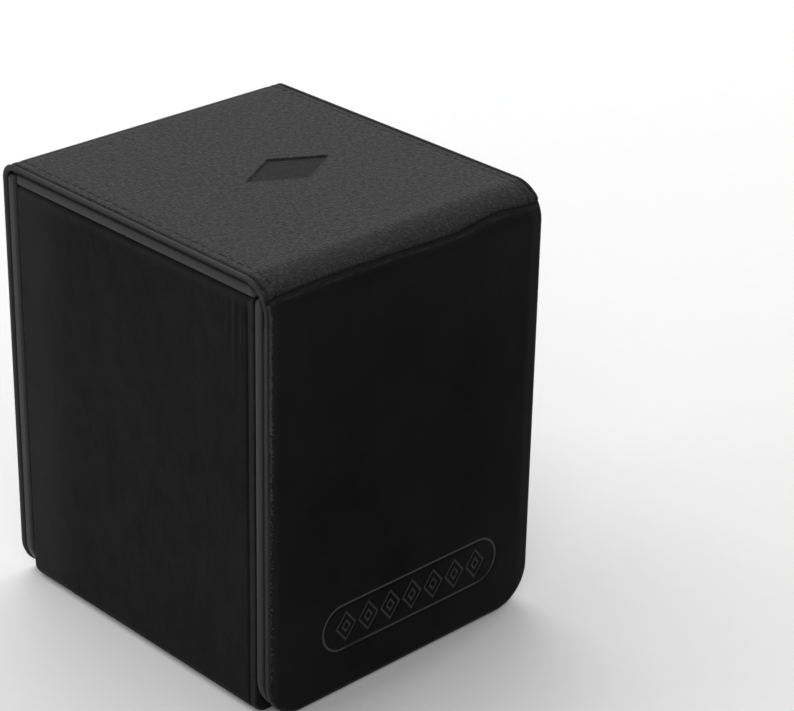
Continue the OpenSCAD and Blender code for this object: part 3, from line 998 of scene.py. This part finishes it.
def side_lighter_back_and_highlights(u, v):
    """Lighter towards the back of the tub's sides, and painted highlights along the front edge and the rim.
    """
    y, z = side_yz(u, v)
    # painted highlights where the rounded front edge and the rim's top edge catch the light
    front_edge_and_rim_highlight = FRONT_EDGE_HIGHLIGHT * hump(y + 40.4, 0.5) + 0.06 * smoothstep(z, 103.2, 104.6)
    return LIGHTER_AT_BACK * smoothstep(u, 20, 41) + front_edge_and_rim_highlight


def side_ring_lighter_back_and_highlight(x, s, nx, share):
    """Painted highlight where the fabric turns round the tub's front edges."""
    uneven = 0.03 * np.sin(s * 1.3) * np.sin(s * 0.37)
    return np.where(nx < 0, FRONT_EDGE_HIGHLIGHT * (1 - smoothstep(share, 0.2, 0.6)), LIGHTER_AT_BACK) + uneven


columns = steps(-41, (-38, 0.2), (-30, 0.4), (41, 3.0))
side_wrap = panel("tub_side_fabric", wrap_place, tub_half_y, (0, u_shape.length), (None, None), columns,
                  u_shape.rows(2.0), wrap_edge, [SUEDE], side_relief, pressed=(side_lighter_back_and_highlights, side_ring_lighter_back_and_highlight))
finish_piece(side_wrap, ["tub_side_wrap"], body="tub")

front_low, front_high = span("tub_front_wrap")
front_y_out, front_top = front_low[1] - 0.05, rim_z + 0.08
front_track = Track([(front_y_out, 1.2), (front_y_out, front_top), (front_high[1], front_top),
                     (front_high[1], rim_z - 0.4)], [0, 1.2, 0.3, 0])


def front_place(x, s, d):
    """s runs up the tub's front and over its rim, and d inwards."""
    x, s, d = np.broadcast_arrays(np.asarray(x, float), s, d)
    return np.stack([x, *front_track.at(s, -d)], -1)


FRONT_HALF = 40.1  # the front fabric's half width, just inside the side fabric's rounded edges
front_wrap = panel("tub_front_fabric", front_place, FRONT_HALF, (0, front_track.length), (2.4, None),
                   steps(-41, (41, 3.0)), front_track.rows(3.0), soft_edge(0.4, 0.35), [SUEDE], thickness=0.3)
finish_piece(front_wrap, ["tub_front_wrap"], body="tub")

for node in ("left_liner", "right_liner", "front_liner", "floor_liner"):
    low, high = span(node)
    corners = [(low[1], low[2]), (high[1], low[2]), (high[1], high[2]), (low[1], high[2])]
    made = bar(node + "_panel", corners, [0.3] * 4, low[0], high[0], 0.3, LINING)
    finish_piece(made, [node], body="tub")
# the back liner covers the back wall board's top edge too
low, high = span("back_liner")
board_top = span("back_wall_board")[1][2]
back_wall_in = span("back_wall_board")[0][1]
corners = [(low[1], low[2]), (back_wall_in, low[2]), (back_wall_in, board_top),
           (high[1], board_top), (high[1], high[2]), (low[1], high[2])]
made = bar("back_liner_panel", corners, [0.3, 0.2, 0.1, 0.2, 0.25, 0.4], low[0], high[0], 0.25, LINING)
finish_piece(made, ["back_liner"], body="tub")

# ---------------------------------------------------------------- floor

FLOOR_M = 3  # half its side
floor_mesh = bpy.data.meshes.new("floor")
floor_corners = [(x * FLOOR_M, y * FLOOR_M, 0) for x, y in ((-1, -1), (1, -1), (1, 1), (-1, 1))]
floor_mesh.from_pydata(floor_corners, [], [(0, 1, 2, 3)])
floor = bpy.data.objects.new("floor", floor_mesh)
bpy.context.scene.collection.objects.link(floor)
g = Graph("floor_paper")
grain = g.noise(object_mm(g), 0.2, 3.0)
floor.data.materials.append(g.finish(g.blend(grain, tone(0.92), tone(0.94)), 0.9, grain, 0.02))

# ---------------------------------------------------------------- the CAD nodes' materials

CAD_MATERIALS = {"magnets": METAL, "board": BOARD, "liner": LINING, "tub": SUEDE}  # the first word that fits
for node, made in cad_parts.items():
    made.data.materials.clear()
    made.data.materials.append(next((m for word, m in CAD_MATERIALS.items() if word in node), EDGE))
